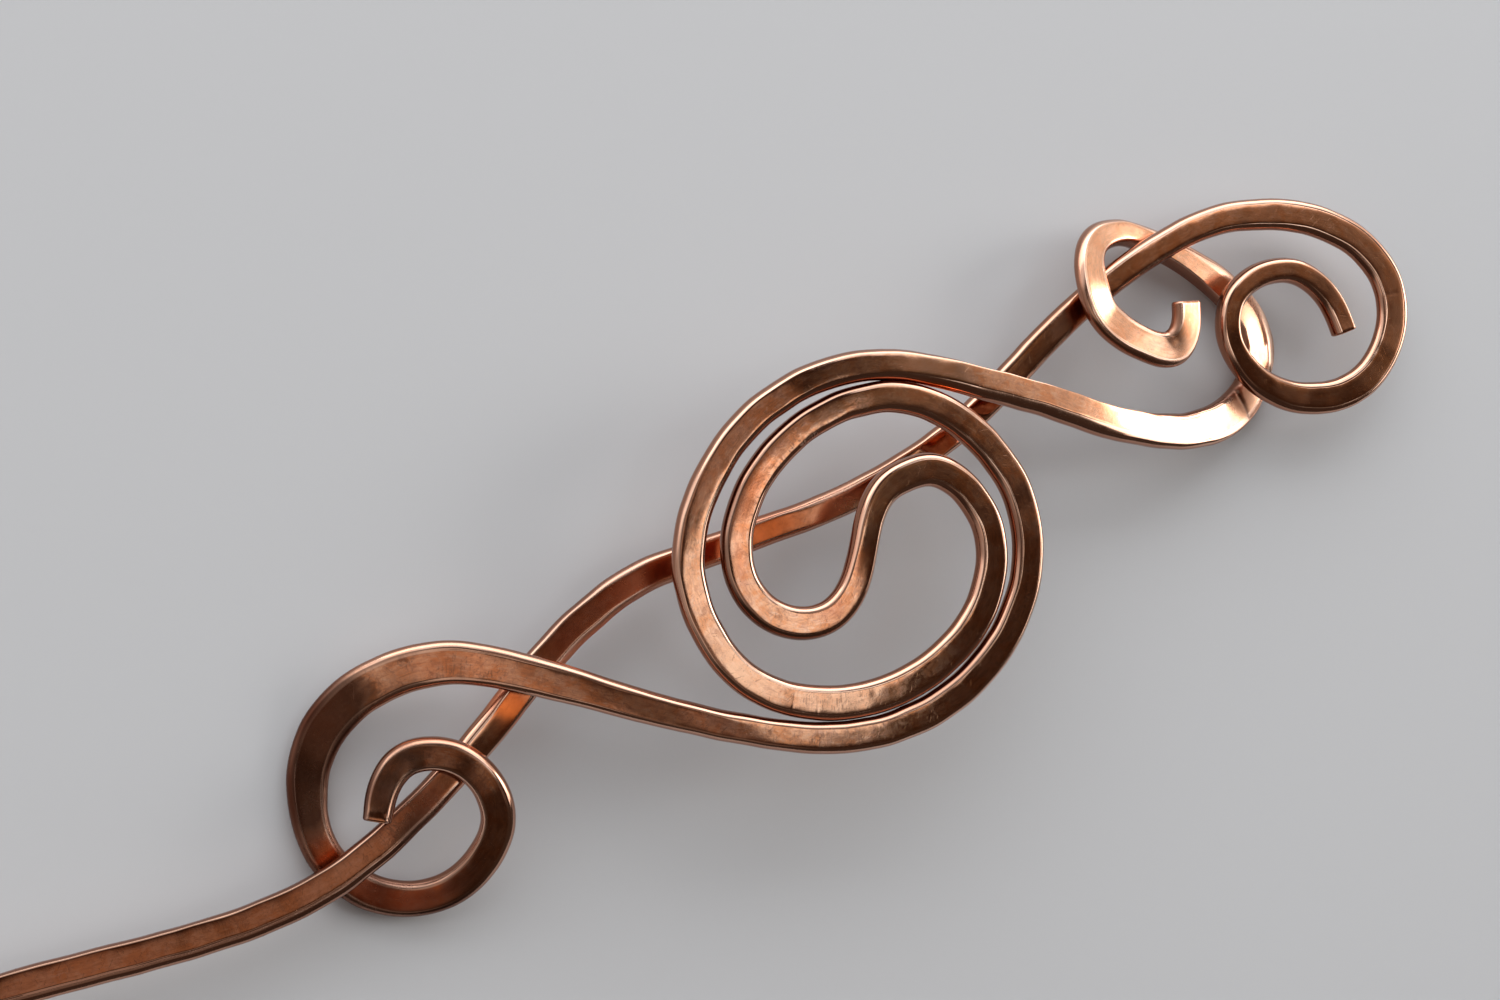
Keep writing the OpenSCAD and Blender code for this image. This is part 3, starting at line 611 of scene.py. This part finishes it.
# tall light behind, low on the far side
softbox("panel_back", UP * 0.50 + Vector((0, 0, 0.23)), OBJ, 1.2, 0.36, 1.7, (0.98, 0.99, 1))
# light to the right, which the falling right side mirrors
softbox("panel_right", Vector((0.88, -0.22, 0.44)), OBJ, 0.20, 0.20, 3.0, (1, 0.99, 0.97))

world = bpy.data.worlds.new("room")
bpy.context.scene.world = world
world.use_nodes = True
wt = Tree.__new__(Tree)
wt.nt = world.node_tree
wt.nt.nodes.clear()
coord = wt.new("ShaderNodeTexCoord")


def lobe(direction, inner, outer, colour):
    """soft patch of the room, colour inside inner degrees and nothing past outer degrees"""
    dot = wt.new("ShaderNodeVectorMath", operation="DOT_PRODUCT")
    wt.nt.links.new(coord.outputs["Generated"], dot.inputs[0])
    dot.inputs[1].default_value = Vector(direction).normalized()
    amount = wt.span(dot.outputs["Value"], math.cos(math.radians(outer)), math.cos(math.radians(inner)))
    node = wt.new("ShaderNodeVectorMath", operation="SCALE")
    node.inputs[0].default_value = colour
    wt.nt.links.new(amount, node.inputs["Scale"])
    return node.outputs[0]


def plus(a, b):
    node = wt.new("ShaderNodeVectorMath", operation="ADD")
    wt.put(a, node.inputs[0])
    wt.put(b, node.inputs[1])
    return node.outputs[0]


def edge(normal, level, half):
    """1 where a direction lies past level along normal, with a soft border"""
    dot = wt.new("ShaderNodeVectorMath", operation="DOT_PRODUCT")
    wt.nt.links.new(coord.outputs["Generated"], dot.inputs[0])
    dot.inputs[1].default_value = Vector(normal)
    return wt.span(dot.outputs["Value"], level - half, level + half)


def lit(amount, colour):
    node = wt.new("ShaderNodeVectorMath", operation="SCALE")
    node.inputs[0].default_value = colour
    wt.nt.links.new(amount, node.inputs["Scale"])
    return node.outputs[0]


# dim warm ceiling
tone = wt.mix(edge((0, 0, 1), 0.35, 0.25), rgb(0.055, 0.046, 0.041), rgb(0.040, 0.025, 0.018))
# bright window of the ceiling, four-sided, which the lower left of the spiral mirrors
window = edge((-1, 1, 0), -0.53, 0.015)
for side_of in (edge((0, -1, 0), 0.095, 0.012), edge((1, 0, 0), 0.105, 0.02), edge((0, 1, 0), -0.262, 0.035), edge((0, 0, 1), 0.5, 0.1)):
    window = wt.math("MULTIPLY", window, side_of)
tone = plus(tone, lit(window, (1.03, 1.09, 1.12)))
# pale far wall and sky behind the slide
tone = plus(tone, lit(edge((0.2, 0.98, 0), 0.42, 0.14), (0.85, 0.86, 0.88)))
for patch in (
        ((0.25, -0.03, 0.97), 6, 9, (0.24, 0.20, 0.18)),       # ceiling beyond the window
        ((0.01, -0.21, 0.98), 3, 6, (0.15, 0.12, 0.11)),       # ceiling left of the window
        ((-0.01, 0.10, 0.99), 5, 9, (0.22, 0.17, 0.15)),
        ((-0.45, -0.07, 0.89), 7, 17, (0.42, 0.36, 0.32)),     # ceiling on the left
        ((-0.25, -0.19, 0.95), 4, 8, (0.24, 0.20, 0.18)),
        ((-0.08, -0.17, 0.98), 1.5, 5, (0.08, 0.066, 0.056)),
        ((-0.14, -0.43, 0.89), 4, 12, (0.10, 0.08, 0.07)),
        ((0.46, -0.15, 0.875), 2, 6, (0.02, 0.018, 0.016)),
        ((0.44, -0.08, 0.893), 1.5, 4.5, (0.09, 0.075, 0.062)),
        ((0.55, -0.11, 0.828), 1, 5, (0.15, 0.122, 0.10)),
        ((0.87, -0.26, 0.42), 6, 12, (3.0, 2.9, 2.8)),     # light to the right
        ((0.72, -0.52, 0.46), 7, 11, (1.8, 1.75, 1.7)),
        ((0.89, -0.40, 0.20), 7, 13, (2.4, 2.35, 2.3)),        # low end of that light
        ((0.73, -0.34, 0.60), 5, 8, (1.8, 1.75, 1.7)),
        ((0.665, -0.25, 0.70), 1.5, 3.4, (1.0, 0.97, 0.94)),
        ((0.93, -0.05, 0.35), 14, 36.5, (0.85, 0.80, 0.75)),   # glow round it
        ((0.64, 0.10, 0.76), 10, 13, (1.2, 1.3, 1.4)),        # small high window to the right
        ((-0.80, 0.45, 0.40), 10, 50, (0.36, 0.34, 0.33))):    # wall on the left
    tone = plus(tone, lobe(*patch))
background = wt.new("ShaderNodeBackground")
wt.put(tone, background.inputs["Color"])
background.inputs["Strength"].default_value = 1.0
wo = wt.new("ShaderNodeOutputWorld")
wt.nt.links.new(background.outputs[0], wo.inputs[0])

bpy.context.scene.view_settings.view_transform = "Standard"
bpy.context.scene.view_settings.look = "None"
bpy.context.scene.view_settings.exposure = 0.0
